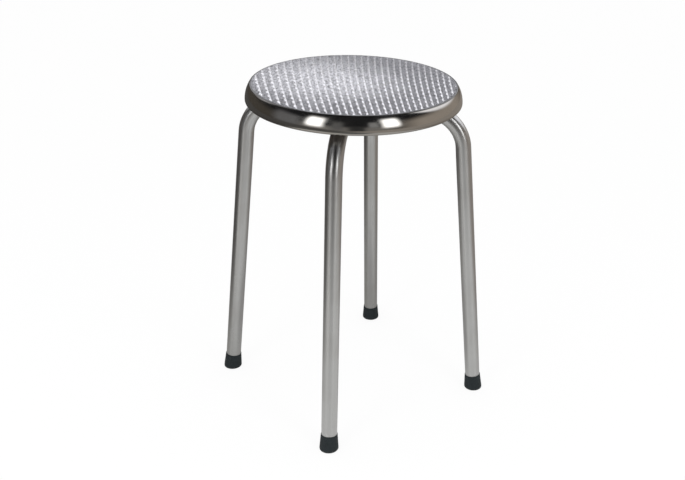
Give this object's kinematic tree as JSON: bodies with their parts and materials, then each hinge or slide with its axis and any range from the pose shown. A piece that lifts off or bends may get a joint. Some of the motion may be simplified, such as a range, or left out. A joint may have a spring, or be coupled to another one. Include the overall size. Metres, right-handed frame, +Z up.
{
  "type": "stacking stool",
  "caption": "Round backless stacking stool: embossed steel pan seat with a polished rolled rim on splayed bent-tube legs with rubber feet.",
  "frame": {"origin": "on the floor, under the centre of the seat", "axes": "+Z up; -Y towards the front leg, +X towards the right leg; the four legs stand on the X and Y axes"},
  "size_m": [0.4074, 0.4074, 0.476],
  "materials": {
    "seat_steel": "stainless sheet, embossed field with a bright bead pattern and a mirror-polished rolled rim",
    "board_wood": "bare birch plywood",
    "plate_steel": "black powder coat over pressed steel",
    "tube_steel": "polished stainless tube",
    "plug_plastic": "black moulded plastic",
    "foot_rubber": "matt charcoal rubber",
    "fastener_steel": "zinc plated steel"
  },
  "bodies": {
    "root": {"seat_pan": "seat_steel", "seat_board": "board_wood", "mount_plate": "plate_steel", "plate_screws": "fastener_steel", "screw_washers": "fastener_steel", "leg_front": "tube_steel", "plug_front": "plug_plastic", "foot_front": "foot_rubber", "foot_washer_front": "fastener_steel", "leg_right": "tube_steel", "plug_right": "plug_plastic", "foot_right": "foot_rubber", "foot_washer_right": "fastener_steel", "leg_back": "tube_steel", "plug_back": "plug_plastic", "foot_back": "foot_rubber", "foot_washer_back": "fastener_steel", "leg_left": "tube_steel", "plug_left": "plug_plastic", "foot_left": "foot_rubber", "foot_washer_left": "fastener_steel"}
  },
  "joints": []
}
